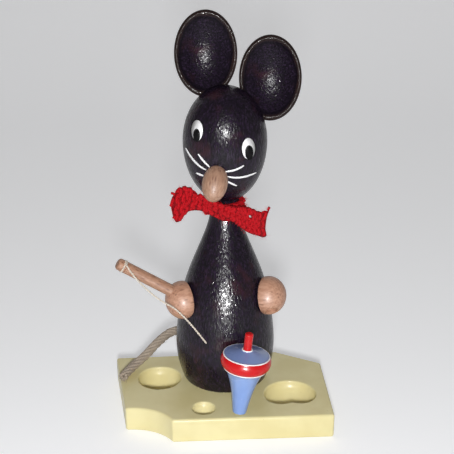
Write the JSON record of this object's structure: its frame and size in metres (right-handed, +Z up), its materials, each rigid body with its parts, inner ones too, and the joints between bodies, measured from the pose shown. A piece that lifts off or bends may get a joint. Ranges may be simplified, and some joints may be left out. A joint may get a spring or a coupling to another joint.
{
  "type": "mouse figurine",
  "caption": "Turned wooden mouse on a painted wedge of cheese, with dish ears, a wool scarf, a cord tail, a string whip and a spinning top; the head turns and the top spins.",
  "frame": {"origin": "on the flat underside of the cheese, below the axis of the mouse's body", "axes": "+Z up along the body's axis, -Y towards the viewer of the picture, +X to the viewer's right"},
  "size_m": [0.0509, 0.0387, 0.0939],
  "materials": {
    "cheese_paint": "satin butter-yellow paint on a cut board",
    "black_stained_wood": "black-brown stain under glossy lacquer",
    "beech": "plain turned beech, thin clear coat",
    "stick_wood": "reddish dowel, plain",
    "dowel_wood": "plain birch dowel",
    "red_wool": "chunky crocheted wool",
    "hemp_cord": "twisted hemp cord",
    "cotton_string": "thin twisted cotton string",
    "blue_paint": "gloss paint in bands on turned wood",
    "red_paint": "gloss red paint on turned wood",
    "steel_pin": "bright wire"
  },
  "bodies": {
    "base": {"cheese_base": "cheese_paint", "body": "black_stained_wood", "hand_left": "beech", "hand_right": "beech", "whip_handle": "stick_wood", "whip_hitch": "cotton_string", "whip_string": "cotton_string", "tail_cord": "hemp_cord", "scarf": "red_wool", "neck_dowel": "dowel_wood", "body_dowel": "dowel_wood", "hand_dowel_left": "dowel_wood", "hand_dowel_right": "dowel_wood", "top_pin": "steel_pin"},
    "head_unit": {"head": "black_stained_wood", "ear_left": "black_stained_wood", "ear_right": "black_stained_wood", "ear_pin_left": "steel_pin", "ear_pin_right": "steel_pin", "nose": "beech", "nose_dowel": "dowel_wood"},
    "spinning_top": {"top_body": "blue_paint", "top_stem": "red_paint"}
  },
  "joints": [
    {"name": "head_turn", "type": "hinge", "parent": "base", "child": "head_unit", "pos_m": [0, 0, 0.0522], "axis": [0, 0, 1], "range_deg": [-35, 90]},
    {"name": "top_spin", "type": "hinge", "parent": "base", "child": "spinning_top", "pos_m": [0.0018, -0.0183, 0.006], "axis": [0.1134, 0.0403, 0.9927], "continuous": true}
  ]
}
